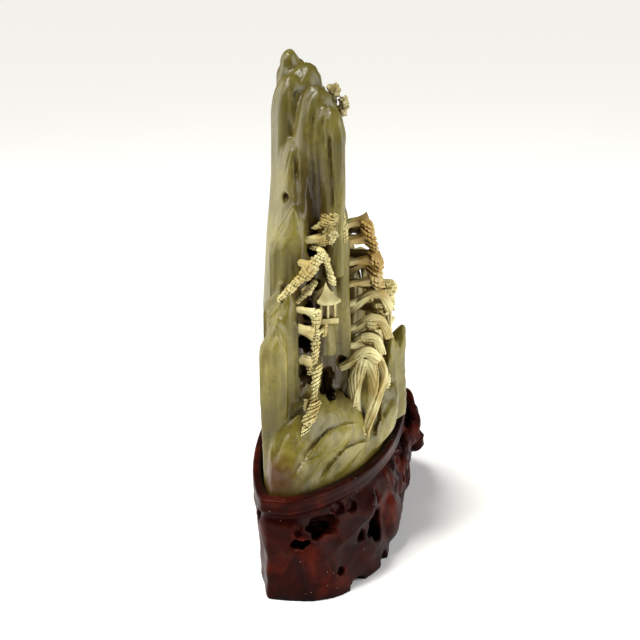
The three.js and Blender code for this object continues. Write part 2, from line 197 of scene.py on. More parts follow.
def relaxed(piece, steps, factor=0.5):
    only(piece)
    smooth = piece.modifiers.new("relax", "SMOOTH")
    smooth.factor = factor
    smooth.iterations = steps
    bpy.ops.object.modifier_apply(modifier=smooth.name)
    return piece


def one_piece(piece):
    """Keeps the largest connected skin; crumbs that the cuts left loose fall away."""
    shape = bmesh.new()
    shape.from_mesh(piece.data)
    waiting, largest = set(shape.verts), set()
    while waiting:
        edge_of_search = [waiting.pop()]
        found = set(edge_of_search)
        while edge_of_search:
            v = edge_of_search.pop()
            fresh = {e.other_vert(v) for e in v.link_edges} & waiting
            waiting -= fresh
            found |= fresh
            edge_of_search.extend(fresh)
        if len(found) > len(largest):
            largest = found
    bmesh.ops.delete(shape, geom=[v for v in shape.verts if v not in largest], context="VERTS")
    shape.to_mesh(piece.data)
    shape.free()
    return piece


def thinned(piece, triangles):
    """Brings a piece down to about that many triangles, keeping its edges."""
    only(piece)
    count = sum(len(p.vertices) - 2 for p in piece.data.polygons)
    if count > triangles:
        decimate = piece.modifiers.new("thin", "DECIMATE")
        decimate.ratio = triangles / count
        bpy.ops.object.modifier_apply(modifier=decimate.name)
    return piece


def boat(x, y, near, far, front, back, nose=11.0, blunt=7.0, full=(2.5, 1.7)):
    along = WIDEST_X + x * (WIDEST_X - near if x < 0 else far - WIDEST_X)
    side, square = (nose - front, full[0]) if y < 0 else (back - nose, full[1])
    swell = max(0.0, 1 - abs(x) ** square) ** 0.75
    bluntness = blunt * min(1.0, abs(y) * 8)
    return along, nose + (math.copysign(1, y) * (bluntness + (side - blunt) * swell) if y else 0.0)


def between(rows, z):
    for low, high in zip(rows, rows[1:]):
        if z <= high[0]:
            t = (z - low[0]) / (high[0] - low[0])
            return [
                [mix(p, q, t) for p, q in zip(a, b)] if isinstance(a, tuple) else mix(a, b, t)
                for a, b in zip(low, high)
            ]
    return list(rows[-1])


# height, near end, far end, front, back, nose, bluntness, squareness front and back
CORE_ROWS = [
    (54.3, -103, 103, -36, 39, 11, 4, (2.5, 1.65)),
    (76, -98, 98, -35, 38.5, 11, 4, (2.6, 1.75)),
    (90, -91, 92, -29, 37.5, 11, 4, (3, 1.85)),
    (96, -87, 90, -25, 37, 11, 4, (3.1, 1.9)),
    (101, -82, 88, -20, 36.8, 11, 4, (3.2, 1.95)),
    (106, -80, 84, -8, 36.8, 11, 4, (2.5, 2.0)),
    (150, -70, 70, -2, 38.5, 11, 4, (2.3, 3)),
    (190, -56, 54, -2, 37.5, 11, 4, (2.3, 3)),
    (240, -40, 34, -1, 34.3, 11, 4, (2.3, 3)),
    (270, -16, 18, 8, 30, 18, 4, (2.5, 1.7)),
]


def core_place(x, y, t):
    z = mix(STONE_FOOT, 270, t)
    _, near, far, front, back, nose, blunt, full = between(CORE_ROWS, z)
    return (*boat(x, y, near, far, front, back, nose, blunt, full), z)


def upright(at, half, foot, top, crown, sharp=0.0, turn=0.0, nod=(0, 0), spread=1.1, flutes=3, groove=0.1):
    """A standing rock: a fluted shaft that narrows through its crown to its tip."""
    angle = math.radians(turn)
    shaft = top - foot - crown
    rows = 44
    start = 0.45

    def place(x, y, t):
        if t < start:
            z, wide, bend = foot + shaft * t / start, mix(spread, 1.0, min(1, t / start * 1.2)), 0.0
        else:
            step = math.sin(math.pi / 2 * (t - start) / (1 - start))
            z = foot + shaft + crown * step
            wide = mix(math.sqrt(max(0, 1 - step * step)), 1 - step, sharp)
            bend = step * step
        theta = math.atan2(y, x)
        drift = 0.5 * math.sin(z * 0.031 + at[0]) + 0.25 * math.sin(z * 0.083 + at[1])
        channel = abs(math.cos(0.5 * flutes * (theta + drift) + at[0] * 0.7)) ** 0.35
        wide *= 1 - groove * (1 - channel) * min(1, wide * 2)
        px, py = x * half[0] * wide, y * half[1] * wide
        return (
            at[0] + nod[0] * bend + px * math.cos(angle) - py * math.sin(angle),
            at[1] + nod[1] * bend + px * math.sin(angle) + py * math.cos(angle),
            z,
        )

    return form(48, rows, place)


# Plan of a chiselled blade, its sharp corner towards the near end (-X)
BLADE_PLAN = [(1.0, -0.7), (0.8, 0.9), (-0.3, 1.0), (-1.0, -0.2), (-0.25, -1.0)]


def blade(at, half, foot, top, slopes=(1.6, 2.2, 2.0), turn=0.0, apex=(0.1, -0.35), spread=1.15):
    """A flat-sided blade whose top is cut by three slanted faces: left, right and near."""
    angle = math.radians(turn)
    edges = []
    for a, b in zip(BLADE_PLAN, BLADE_PLAN[1:] + BLADE_PLAN[:1]):
        normal = Vector((b[1] - a[1], a[0] - b[0])).normalized()
        edges.append((normal, normal.dot(Vector(a))))
    shaft_rows, top_rows = 24, 16
    left, right, near = slopes

    def place(x, y, t):
        reach = min((d / n.dot((x, y)) for n, d in edges if n.dot((x, y)) > 1e-6), default=0.0)
        row = t * (shaft_rows + top_rows)
        inward = max(0.0, (row - shaft_rows) / top_rows)
        px = mix(x * reach, apex[0], inward) * half[0]
        py = mix(y * reach, apex[1], inward) * half[1]
        dx, dy = px - apex[0] * half[0], py - apex[1] * half[1]
        cut = max(left * dy, -right * dy) + near * max(0.0, -dx)
        z = top - cut
        if row < shaft_rows:
            climb = row / shaft_rows
            wide = mix(spread, 1.0, min(1.0, climb * 1.4))
            px, py, z = px * wide, py * wide, mix(foot, z, climb)
        return (
            at[0] + px * math.cos(angle) - py * math.sin(angle),
            at[1] + px * math.sin(angle) + py * math.cos(angle),
            z,
        )

    return form(60, shaft_rows + top_rows, place)


def smooth_path(points, t):
    """A point on the curve through the points, t from 0 to 1."""
    spans = len(points) - 1
    i = min(int(t * spans), spans - 1)
    u = t * spans - i
    p = [Vector(points[max(0, min(spans, i + k))]) for k in (-1, 0, 1, 2)]
    if i == 0:
        p[0] = p[1] * 2 - p[2]
    if i == spans - 1:
        p[3] = p[2] * 2 - p[1]
    return 0.5 * (
        2 * p[1] + (p[2] - p[0]) * u + (2 * p[0] - 5 * p[1] + 4 * p[2] - p[3]) * u * u
        + (3 * p[1] - p[0] - 3 * p[2] + p[3]) * u ** 3
    )


def limb(path, radii, sides=24, rows=24, lobes=0, depth=0.0, turns=0.0, waist=0.0, flat=1.0):
    """A bar, fold, branch or root along a path; lobes wind round it like strands."""
    first = smooth_path(path, 0.02) - smooth_path(path, 0.0)
    across = first.cross(Vector((0, 0, 1)))
    across = (across if across.length > 1e-3 else Vector((1, 0, 0))).normalized()
    frames = []
    for row in range(rows + 1):
        t = row / rows
        centre = smooth_path(path, t)
        ahead = (smooth_path(path, min(1, t + 0.01)) - smooth_path(path, max(0, t - 0.01))).normalized()
        across = (across - ahead * across.dot(ahead)).normalized()
        frames.append((centre, across.copy(), ahead.cross(across)))

    def place(x, y, t):
        centre, side, up = frames[round(t * rows)]
        around = math.atan2(y, x) + turns * 2 * math.pi * t
        strand = 1 - depth * (1 - abs(math.cos(0.5 * lobes * around)) ** 0.5) if lobes else 1
        radius = mix(radii[0], radii[1], t) * strand * (1 - waist * math.sin(math.pi * t))
        return centre + side * (x * radius) + up * (y * radius * flat)

    return form(sides, rows, place)


def egg(at, half, turn=0.0, tilt=0.0, rough=0.0):
    """A rounded lump, or the tool that cuts a rounded hollow; rough makes it uneven."""
    bpy.ops.object.select_all(action="DESELECT")
    bpy.ops.mesh.primitive_uv_sphere_add(segments=32, ring_count=20, radius=1)
    piece = bpy.context.object
    spin = Euler((0, math.radians(tilt), math.radians(turn)), "XYZ").to_matrix()
    for v in piece.data.vertices:
        size = 1 + rough * noise.noise(v.co * 1.6 + Vector(at))
        v.co = (spin @ Vector([c * h * size for c, h in zip(v.co, half)]) + Vector(at)) / 1000
    return piece


COLUMNS = [
    dict(at=(-29, 2.5), half=(13.6, 15.2), foot=98, top=276, crown=30, sharp=0.25, nod=(2, 3), flutes=5, groove=0.16),
    dict(at=(-38, -7), half=(6.2, 6.2), foot=170, top=266, crown=14, nod=(2, 2), groove=0.14),
    dict(at=(-41, -10), half=(4.2, 4.2), foot=170, top=257, crown=11, nod=(1, 1)),
    dict(at=(-20, -2.5), half=(8.6, 8.6), foot=97, top=263, crown=20, groove=0.16),
    dict(at=(-19, 20.6), half=(14.6, 11.4), foot=180, top=281, crown=24, flutes=4),
    dict(at=(-10, 14), half=(12.6, 10.1), foot=220, top=286, crown=14),
    dict(at=(7, 24.5), half=(13.6, 10.7), foot=220, top=287, crown=12),
    dict(at=(3, 26.2), half=(6.6, 5.6), foot=276, top=HEIGHT, crown=8, groove=0.05),
    dict(at=(9, 6), half=(11.6, 10.6), foot=99, top=268, crown=24, sharp=0.2, flutes=5, groove=0.15),
    dict(at=(26, 15), half=(12.4, 15.2), foot=99, top=260, crown=34, sharp=0.35, nod=(-2, 3), spread=1.4, flutes=5,
         groove=0.14),
    dict(at=(21, 4), half=(8.5, 7.6), foot=98, top=243, crown=22, sharp=0.25, groove=0.14),
    dict(at=(41, 15), half=(10.5, 13.2), foot=97, top=226, crown=36, sharp=0.35, nod=(-3, 2), spread=1.5, flutes=4,
         groove=0.14),
    dict(at=(36, 4), half=(8.5, 7.6), foot=98, top=206, crown=26, sharp=0.3, nod=(-2, 1), spread=1.5, groove=0.14),
    dict(at=(8, -11), half=(9.4, 8.5), foot=96, top=166, crown=26, sharp=0.3, spread=1.3, groove=0.14),
    dict(at=(-35, -9), half=(4.8, 8.0), foot=92, top=199, crown=9, sharp=0.3, flutes=6, groove=0.2),
    dict(at=(-40, -4), half=(4.3, 6.6), foot=96, top=168, crown=9, sharp=0.3, flutes=5, groove=0.16),
]

# Flat chiselled blades at both ends and the spur at the front
BLADES = [
    dict(at=(-55, 15.5), half=(7.6, 10.2), foot=90, top=213, slopes=(1.65, 1.7, 2.0), turn=6),
    dict(at=(-67, 19.5), half=(5.6, 7.4), foot=80, top=171, slopes=(1.3, 2.0, 1.6), turn=8),
    dict(at=(-75, 13.5), half=(6.6, 9.2), foot=70, top=170, slopes=(1.2, 3.0, 1.7), turn=6),
    dict(at=(-85, 17), half=(7.0, 8.0), foot=58, top=157, slopes=(1.6, 2.6, 1.7), turn=10, spread=0.72),
    dict(at=(55, 15), half=(11, 14), foot=80, top=200, slopes=(1.8, 2.4, 1.6), turn=-10),
    dict(at=(50, 1), half=(8.3, 7.4), foot=96, top=170, slopes=(2.0, 2.4, 1.8)),
    dict(at=(69, 17), half=(10, 12), foot=80, top=166, slopes=(1.8, 2.4, 1.6), turn=-18),
    dict(at=(81, 16), half=(8.3, 10), foot=70, top=134, slopes=(1.8, 2.4, 1.6), turn=-25),
    dict(at=(21, -37), half=(8.3, 5.7), foot=66, top=125, slopes=(1.0, 3.2, 1.2), turn=8, apex=(0.2, -0.7)),
]

FRONT_ROCKS = [
    dict(at=(-6, -30), half=(8, 6.2), top=98),
    dict(at=(9, -33), half=(7.2, 5.8), top=121),
    dict(at=(34, -34), half=(7.2, 6.3), top=115),
    dict(at=(47, -33), half=(9, 6.8), top=102),
    dict(at=(64, -27), half=(9, 7.2), top=92),
    dict(at=(79, -16), half=(8, 7.2), top=86),
]

LEDGES = [
    dict(at=(-52, -2), half=(8.5, 9.4), foot=128, top=151, crown=6),
    dict(at=(50, -18), half=(12, 11), foot=70, top=106, crown=8),
    dict(at=(-72, 3), half=(7, 8), foot=88, top=110, crown=5),
]

# Folds that run up the hillside like drapery, thickest half way
FOLDS = [
    dict(path=[(-34, -28, 64), (-10, -33, 76), (12, -35.5, 94)], radii=(3.4, 3.6)),
    dict(path=[(-38, -5, 94), (-37, -7, 108), (-37, -9, 122)], radii=(2.4, 1.8)),
    dict(path=[(-38, -13, 95), (-36, -14, 106), (-36, -15, 118)], radii=(2.0, 1.4)),
    dict(path=[(-94, 1, 62), (-84, -4.3, 77), (-73, -11.5, 84), (-54, -20, 84)], radii=(2, 3)),
    dict(path=[(-82, -9.5, 60), (-72, -14.5, 68), (-62, -18.5, 73), (-45, -26, 72)], radii=(2, 3)),
    dict(path=[(-38, -27, 60), (-26, -28, 74), (-8, -25, 90)], radii=(3, 3)),
    dict(path=[(56, -24, 60), (74, -15, 75), (84, -4, 90)], radii=(3, 2)),
    dict(path=[(88, -8, 58), (89, 0, 76), (82, 10, 95)], radii=(2, 2)),
]

# Hollows cut back behind the trees, between the webs
HOLLOWS = [
    ((-46, -8, 107), (12, 9, 12)),
    ((-44, -15, 112), (11, 8, 11)),
    ((-64, 6, 120), (11, 8, 8.5)),
    ((-60, 7, 139), (11, 8, 7.5)),
    ((-55, 7, 154), (9, 7, 5)),
    ((-47, 7, 167), (10, 7, 5.5)),
    ((-40, 5, 186), (9, 6, 6)),
    ((-46, 18.5, 215.5), (5, 2.2, 3.0)),
]

# Lips of the drapery folds, each with a step below it; and grooves drawn with the chisel
LIPS = [
    [(-96, 4, 70), (-92, 0, 77), (-86, -4.5, 83), (-75, -11, 88), (-60, -18, 89), (-50, -23, 86)],
    [(-87, -8, 65), (-79, -13, 73), (-69, -18, 77), (-55, -25, 76), (-44, -28, 74)],
    [(-86, 8, 100), (-83, 4, 102), (-79, 0, 102.5), (-75, -6, 103)],
    [(-40, -28, 70), (-26, -33, 80), (-12, -33, 92)],
    [(60, -28, 64), (74, -18, 76), (84, -4, 90)],
]
LIP_HEIGHT, LIP_FALL, LIP_EDGE = 2.0, 8.0, 0.7
GROOVES = [
    ([(-93, 9.7, 85), (-88, 1, 91)], 1.0, 1.0),
    ([(-94, 1, 75.5), (-86, -7, 80)], 1.2, 1.1),
    ([(-90, 4, 82), (-82, -4, 88)], 0.6, 0.8),
    ([(-84, -3, 105), (-88, 4, 100), (-91, 11, 91), (-95, 14, 80)], 1.5, 1.3),
    ([(-84, -14, 82), (-90, -3, 79), (-96, 7, 70), (-99, 12, 62)], 1.2, 1.0),
    ([(-33.5, 18, 258), (-33.4, 17.6, 244)], 1.6, 1.0),
    ([(-40, 14, 239), (-44, 12, 225), (-46, 10, 204)], 2.6, 1.5),
    ([(-38, 4, 263), (-42.8, 3.3, 231), (-43, 2.7, 205)], 1.5, 1.0),
    ([(-40.3, -2, 260), (-42.7, -3.4, 244)], 1.8, 0.9),
    ([(-44, -6, 251), (-44, -7, 231), (-45, -7.8, 210)], 1.8, 1.0),
    ([(-36, 22, 262), (-39, 20, 238)], 1.0, 1.0),
    ([(-38, 1, 252), (-37, -1, 261), (-34, -4, 266), (-30, -7, 264)], 1.3, 0.9),
    ([(-41, -4, 238), (-41.5, -6, 251), (-40, -9, 256), (-36, -12, 252)], 1.3, 0.9),
    ([(-34, 13, 262), (-30, 16, 270), (-24, 10, 276)], 1.2, 1.0),
    ([(-22, 28, 262), (-18, 22, 272), (-12, 12, 274)], 1.2, 1.0),
    ([(0, 30, 279), (-4, 24, 281), (-2, 17, 280)], 1.0, 0.9),
    ([(-30, -9, 254), (-34, -12, 226), (-36, -13, 206)], 1.3, 1.0),
]


def beside(point, line):
    """The gap to a line, its nearest point, the way it runs there, and how far that is from its ends."""
    best = None
    for a, b in zip(line, line[1:]):
        a, b = Vector(a), Vector(b)
        run = b - a
        t = max(0.0, min(1.0, (point - a).dot(run) / run.length_squared))
        foot = a + run * t
        gap = (point - foot).length
        if best is None or gap < best[0]:
            best = (gap, foot, run.normalized())
    ends = min((best[1] - Vector(line[0])).length, (best[1] - Vector(line[-1])).length)
    return (*best, ends)


def carved(p, n):
    """Cuts the lips and the grooves into the rock."""
    lift = 0.0
    for line in LIPS:
        if (p - Vector(line[len(line) // 2])).length > 45:
            continue
        gap, foot, run, ends = beside(p, line)
        if gap > 3 * LIP_FALL:
            continue
        down = run.cross(n)
        down = down if down.z < 0 else -down
        away = (p - foot).dot(down)
        fade = min(1.0, ends / 5) if gap < 20 else 0.0
        if away > 0:
            lift += LIP_HEIGHT * fade * math.exp(-away / LIP_FALL)
        else:
            lift += fade * (LIP_HEIGHT * math.exp(away / LIP_EDGE) - 1.3 * math.exp(-(away / 1.8) ** 2))
    for line, depth, width in GROOVES:
        if (p - Vector(line[0])).length > 75:
            continue
        gap, foot, run, ends = beside(p, line)
        lift -= depth * min(1.0, 0.3 + ends / 6) * math.exp(-(gap / width) ** 2)
    return p + n * lift


rock_forms = [form(96, 72, core_place)]
rock_forms += [upright(**column) for column in COLUMNS]
rock_forms += [blade(**spec) for spec in BLADES]
rock_forms += [blade(**rock, foot=66, slopes=(1.8, 2.2, 1.6)) for rock in FRONT_ROCKS]
rock_forms += [upright(**ledge) for ledge in LEDGES]
rock = fused(joined(rock_forms, "rock"), 1.2)
rock = cut(rock, joined([egg(at, half, rough=0.5) for at, half in HOLLOWS], "hollows"))
folds = [limb(**fold, waist=-1.3) for fold in FOLDS]
rock = fused(joined([rock, *folds], "rock"), 0.9)
rock = relaxed(rock, 2)

# The trees
# Pines left standing free of the wall, their needles cut as stacked rows of small
# knobs with a groove under each row; webs of stone still tie them to the rock, and
# the trunks are bundles of strands like rope.
ROW_PITCH = 2.1
PLATE_PITCH = 2.6
KNOB = 1.9
GROOVE_DEPTH = 1.05
TUFT_LENGTH = 7.0
by_hand = random.Random(11)


def united(pieces):
    """Grows the forms together two by two, then those pairs, until one is left."""
    while len(pieces) > 1:
        grown = []
        for first, second in zip(pieces[::2], pieces[1::2]):
            only(first)
            union = first.modifiers.new("grown", "BOOLEAN")
            union.operation = "UNION"
            union.solver = "MANIFOLD"
            union.object = second
            bpy.ops.object.modifier_apply(modifier=union.name)
            bpy.data.objects.remove(second)
            grown.append(first)
        pieces = grown + pieces[len(grown) * 2:]
    return pieces[0]


def tuft(path, half, tilt, turn, pitch, knob, depth, notch, seed):
    """A short heap of needles: rows of knobs, each row wider at its upper edge."""
    length = sum((Vector(b) - Vector(a)).length for a, b in zip(path, path[1:]))
    rows = max(2, round(length / pitch))
    knobs = max(6, round(math.pi * (half[0] + half[1]) / knob))
    spin = Euler((math.radians(tilt), math.radians(turn), 0), "XYZ").to_matrix()
    ring_height = (0.0, 0.34, 0.72)
    ring_level = (0.0, 0.9, 1.0)
    knob_angle = (0.0, 0.3, 0.7)
    mean = (half[0] + half[1]) / 2

    def place(x, y, t):
        row, part = divmod(round(t * rows * 3), 3)
        step = round(math.atan2(y, x) / (2 * math.pi) * knobs * 3) % (knobs * 3)
        tooth, side = divmod(step, 3)
        theta = (tooth + knob_angle[side] + 0.35 * noise.noise(Vector((row / 2.5, seed, 4)))) / knobs * 2 * math.pi
        along = (row + ring_height[part]) / rows
        swell = 0.66 + 0.38 * max(0.0, math.sin(math.pi * along)) ** 0.6
        swell *= 1 + 0.26 * noise.noise(Vector((row * 1.7, tooth * 0.9, seed)))
        rise = ring_level[part] * (1.0 if side else notch)
        radius = swell - (1 - rise) * depth / mean
        if x == 0 and y == 0:
            radius = 0.0
        spot = spin @ Vector((math.cos(theta) * radius * half[0], math.sin(theta) * radius * half[1], 0))
        return spot + smooth_path(path, min(1.0, along))

    return form(knobs * 3, rows * 3, place)


def foliage(path, half, tilt=0.0, pitch=ROW_PITCH, knob=KNOB, depth=GROOVE_DEPTH, notch=0.3):
    """Tufts heaped along a path, each a little shifted, tilted and turned."""
    if path[0][2] > path[-1][2]:
        path = path[::-1]
    length = sum((Vector(b) - Vector(a)).length for a, b in zip(path, path[1:]))
    count = max(1, round(length / TUFT_LENGTH))
    tufts = []
    for k in range(count):
        size = by_hand.uniform(0.84, 1.14)
        shift = Vector((by_hand.uniform(-1.6, 1.6), by_hand.uniform(-1.7, 1.7), 0)) * (half[1] / 5)
        stem = [smooth_path(path, max(0.0, min(1.0, (k + u) / count))) + shift for u in (-0.2, 0.5, 1.2)]
        tufts.append(tuft(stem, (half[0] * size, half[1] * size), tilt + by_hand.uniform(-16, 16),
                          by_hand.uniform(-14, 14), pitch, knob, depth, notch, k + length))
    return tufts


TREES = [
    dict(path=[(-84, -1, 91), (-80, -2, 99), (-77, -3, 108)], half=(5.4, 4.8), tilt=-34, notch=0.6, depth=1.5),
    dict(path=[(-78, -4.5, 104), (-75, -4.5, 116), (-73, -5, 128)], half=(3.6, 3.4), tilt=-34, notch=0.6, depth=1.3),
    dict(path=[(-74, -2.5, 122), (-73, -3.5, 134), (-72, -3.5, 145)], half=(3.4, 2.9), tilt=-24),
    dict(path=[(-72, -4.5, 143), (-71, -4.5, 151), (-70, -4.5, 159)], half=(3.4, 3.0), tilt=-16),
    dict(path=[(-68, -8.5, 143), (-67, -8.5, 150)], half=(2.4, 2.2), tilt=-20),
    dict(path=[(-74, 17, 164), (-71, 10, 171), (-68, 4, 177)], half=(3.2, 2.5), tilt=38),
    dict(path=[(-68, 5, 176), (-65, -1, 182), (-62, -6, 188)], half=(3.8, 3.4), tilt=34),
    dict(path=[(-70, 9, 161), (-66, 3, 166), (-62, -3, 173)], half=(2.8, 2.1), tilt=34),
    dict(path=[(-61, -10.5, 171), (-61, -9, 182), (-61, -4, 191)], half=(2.8, 2.4), tilt=12),
    dict(path=[(-50, 4, 188), (-46, -3, 192), (-42, -11, 196)], half=(4.0, 3.0), tilt=16),
    dict(path=[(-48, 2, 199), (-45, -5, 203), (-41, -12, 207)], half=(4.2, 3.4), tilt=16),
    dict(path=[(-39, -13, 190), (-39, -12.5, 206)], half=(3.2, 2.6)),
    dict(path=[(-46, -3, 191), (-43, -6.5, 200), (-42, -8, 206)], half=(4.6, 5.4), tilt=10),
    dict(path=[(-26, -26.5, 183), (-28, -25.5, 200)], half=(6.4, 4.8), tilt=24,
         pitch=PLATE_PITCH, knob=3.4, depth=2.3, notch=0.6),
    dict(path=[(-21, -30, 161), (-23, -29, 180)], half=(7, 5.4), tilt=26,
         pitch=PLATE_PITCH, knob=3.4, depth=2.3, notch=0.6),
    dict(path=[(-16, -33.5, 142), (-20, -32, 152)], half=(6.4, 4.6), tilt=-20, notch=0.5),
    dict(path=[(-24, -30, 136), (-26, -29, 142)], half=(6.0, 6.4), tilt=14, notch=0.5),
    dict(path=[(-27, -27, 128), (-28, -26, 134)], half=(6.0, 5.6), tilt=-12, notch=0.5),
    dict(path=[(-20, -35.5, 98), (-20, -36, 108)], half=(3.6, 3.0), tilt=12),
    dict(path=[(-22, -33, 110), (-25, -31, 118)], half=(4.2, 3.4), tilt=-20),
    dict(path=[(10, -20, 160), (12, -14, 174)], half=(7, 4.4), tilt=8),
    dict(path=[(37, -28, 132), (40, -24, 148)], half=(8, 6), tilt=10),
    dict(path=[(64, -16, 118), (62, -12, 134)], half=(7, 6), tilt=-8),
]

# Webs of stone: from inside the rock, to the tree, half height at the rock
WEBS = [
    ((-72, 14, 159), (-71, -3, 157), 3.0),
    ((-74, 14, 149), (-72, -3, 146), 4.4),
    ((-72, 14, 132), (-73, -3, 129), 4.8),
    ((-72, 12, 105), (-76, -1, 104), 5.0),
    ((-55, 15, 191), (-46, -4, 193), 4.2),
    ((-52, 16, 181), (-64, 0, 181), 3.8),
    ((-50, 18, 159), (-65, 1, 168), 2.8),
    ((-34, -8, 196), (-27, -25.5, 201), 4.4),
    ((-34, -10, 187), (-26, -25, 190), 5.0),
    ((-30, -6, 173), (-25, -26, 177), 3.6),
    ((-31, -6, 160), (-25, -26, 164), 3.2),
    ((-33, -6, 146), (-21, -24, 153), 3.2),
    ((-35, -6, 132), (-24, -26, 139), 3.3),
    ((-37, -7, 127), (-30, -28, 126), 3.4),
    ((-3, 5, 188), (-24, -26, 194), 4.2),
    ((8, 2, 141), (-16, -33, 144), 4.2),
    ((0, 5, 156), (-18, -30, 160), 4.2),
    ((2, 6, 174), (-22, -27, 178), 4.2),
    ((-7, -28, 82), (-20, -35.5, 102), 2.8),
    ((-20, -36, 101), (-25, -31, 124), 3.0),
    ((-72, -4, 144), (-67, -8.5, 147), 2.4),
    ((-16, 15, 256), (-14, -8, 261), 2.8),
    ((-16, 15, 266), (-15, -3, 267), 2.6),
    ((36, -2, 140), (38, -25, 140), 4.6),
    ((58, 14, 124), (63, -17, 127), 4.6),
]


def web(root, tip, thick):
    """A tie left in the stone, flaring where it leaves the rock and again at the tree."""
    middle = (Vector(root) + Vector(tip)) / 2 + Vector((0, 0, 0.8))
    spine = [root, tuple(middle), tip]

    def place(x, y, t):
        centre = smooth_path(spine, t)
        ahead = (Vector(tip) - Vector(root)).normalized()
        side = ahead.cross(Vector((0, 0, 1))).normalized()
        up = ahead.cross(side)
        flare = 0.62 + 0.38 * abs(2 * t - 1) ** 2.2
        worn = 1 + 0.35 * noise.noise(centre / 2.6 + Vector((x, y, thick)))
        worn *= 1 - 0.26 * (1 - abs(math.cos(3.5 * math.atan2(y, x) + 2 * t)) ** 0.4)
        return centre + side * (x * thick * 0.8 * flare * worn) + up * (y * thick * flare * worn)

    return form(28, 10, place)


# Trunks: the path of the bundle, its half width below and above, strands round it
TRUNKS = [
    dict(path=[(-43, -26, 77), (-42, -22, 86), (-39, -20, 98), (-36, -20.5, 108), (-34, -25, 121)],
         radii=(2.2, 5.4), strands=13),
    dict(path=[(-42, -28, 75), (-40, -29, 88), (-37, -31, 98), (-35, -31, 108), (-34, -28, 121)],
         radii=(1.6, 4.0), strands=10),
    dict(path=[(-42, -28, 78), (-40, -32, 90), (-35, -35, 102), (-33, -37, 112), (-33, -33, 121), (-33, -28, 125)],
         radii=(1.5, 2.4), strands=6),
    dict(path=[(-37, -8, 113), (-36, -16, 117), (-35, -22.5, 122), (-35, -28, 124), (-34, -33, 119)],
         radii=(2.6, 4.0), strands=10),
    dict(path=[(40, -28, 84), (44, -26, 108), (38, -27, 134)], radii=(5.5, 4), strands=10),
    dict(path=[(62, -18, 80), (66, -15, 100), (63, -15, 120)], radii=(4.6, 3.8), strands=8),
    dict(path=[(6, -28, 92), (12, -24, 126), (10, -19, 162)], radii=(4.6, 3.8), strands=8),
    dict(path=[(-20, -10, 190), (-24, -17, 196), (-25, -22, 199), (-26, -26, 198), (-27, -27, 192)],
         radii=(2.8, 1.8), strands=6),
    dict(path=[(-18, -9, 164), (-21, -17, 171), (-22, -25, 175), (-22, -30, 173), (-22, -31, 164)],
         radii=(3.2, 2.0), strands=7),
    dict(path=[(-20, -9, 142), (-23, -18, 149), (-24, -26, 156), (-24, -34, 156), (-23, -38, 147)],
         radii=(3.2, 2.8), strands=8),
    dict(path=[(-24, -9, 129), (-26, -18, 135), (-27, -27, 142), (-27, -34, 141), (-26, -38, 131)],
         radii=(3.0, 2.6), strands=8),
    dict(path=[(-27, -8, 120), (-29, -17, 127), (-30, -26, 132), (-30, -32, 130), (-30, -34, 122)],
         radii=(2.8, 2.8), strands=8),
]


def trunk(path, radii, strands):
    """A bundle of strands with three looser ones wound over it."""
    parts = [limb(path, radii, sides=strands * 5, rows=28, lobes=strands, depth=0.24, turns=0.4)]
    for k in range(3):
        wound = []
        for n in range(9):
            around = (k * 0.31 + 0.45 * n / 8) * 2 * math.pi
            out = mix(radii[0], radii[1], n / 8) * 0.88
            beside_path = Vector((math.cos(around), math.sin(around), 0)) * out
            wound.append(tuple(smooth_path(path, n / 8) + beside_path))
        parts.append(limb(wound, (0.95, 0.85), sides=8, rows=16, lobes=4, depth=0.05, turns=0))
    return parts


# Small knots of foliage left on the edge of the peak
TUFTS_ON_PEAK = [
    ((-15, -3.4, 271), (3.6, 2.9, 4.2)),
    ((-15, -1.8, 266.5), (3.4, 2.8, 3.2)),
    ((-14, -8.6, 265), (3.0, 2.6, 2.9)),
    ((-14, -7.8, 260.5), (3.0, 2.8, 3.2)),
]

tree_forms = [heap for tree in TREES for heap in foliage(**tree)]
tree_forms += [web(*spec) for spec in WEBS]
tree_forms += [egg(at, half, rough=0.9) for at, half in TUFTS_ON_PEAK]
for spec in TRUNKS:
    tree_forms += trunk(**spec)

# The pavilions
# Small open garden pavilions: a floor slab, posts before a closed core, and a
# hollow-curved hip roof with lifted corners, all of the same stone as the mountain.


def block(centre, size):
    bpy.ops.object.select_all(action="DESELECT")
    bpy.ops.mesh.primitive_cube_add(size=1, location=(0, 0, 0))
    piece = bpy.context.object
    for v in piece.data.vertices:
        v.co = Vector([c + a * s for c, a, s in zip(centre, v.co, size)]) / 1000
    only(piece)
    bevel = piece.modifiers.new("worn", "BEVEL")
    bevel.width = 0.0003
    bevel.segments = 2
    bpy.ops.object.modifier_apply(modifier=bevel.name)
    return piece


def hip_roof(wide, deep, base, high):
    def place(x, y, t):
        square = 1 / max(abs(x), abs(y), 1e-6) if x or y else 1
        corner = min(abs(x * square), abs(y * square)) ** 3 if x or y else 0
        if t < 0.16:
            reach, z = 1.0, base + t / 0.16 * 1.6
        else:
            s = min(1.0, (t - 0.16) / 0.84)
            reach, z = (1 - s) ** 1.5 * 0.93 + 0.05, base + 1.6 + (high - 1.6) * s
        z += 1.8 * corner * reach ** 3
        return (x * square * reach * wide / 2, y * square * reach * deep / 2, z)

    return form(48, 24, place)


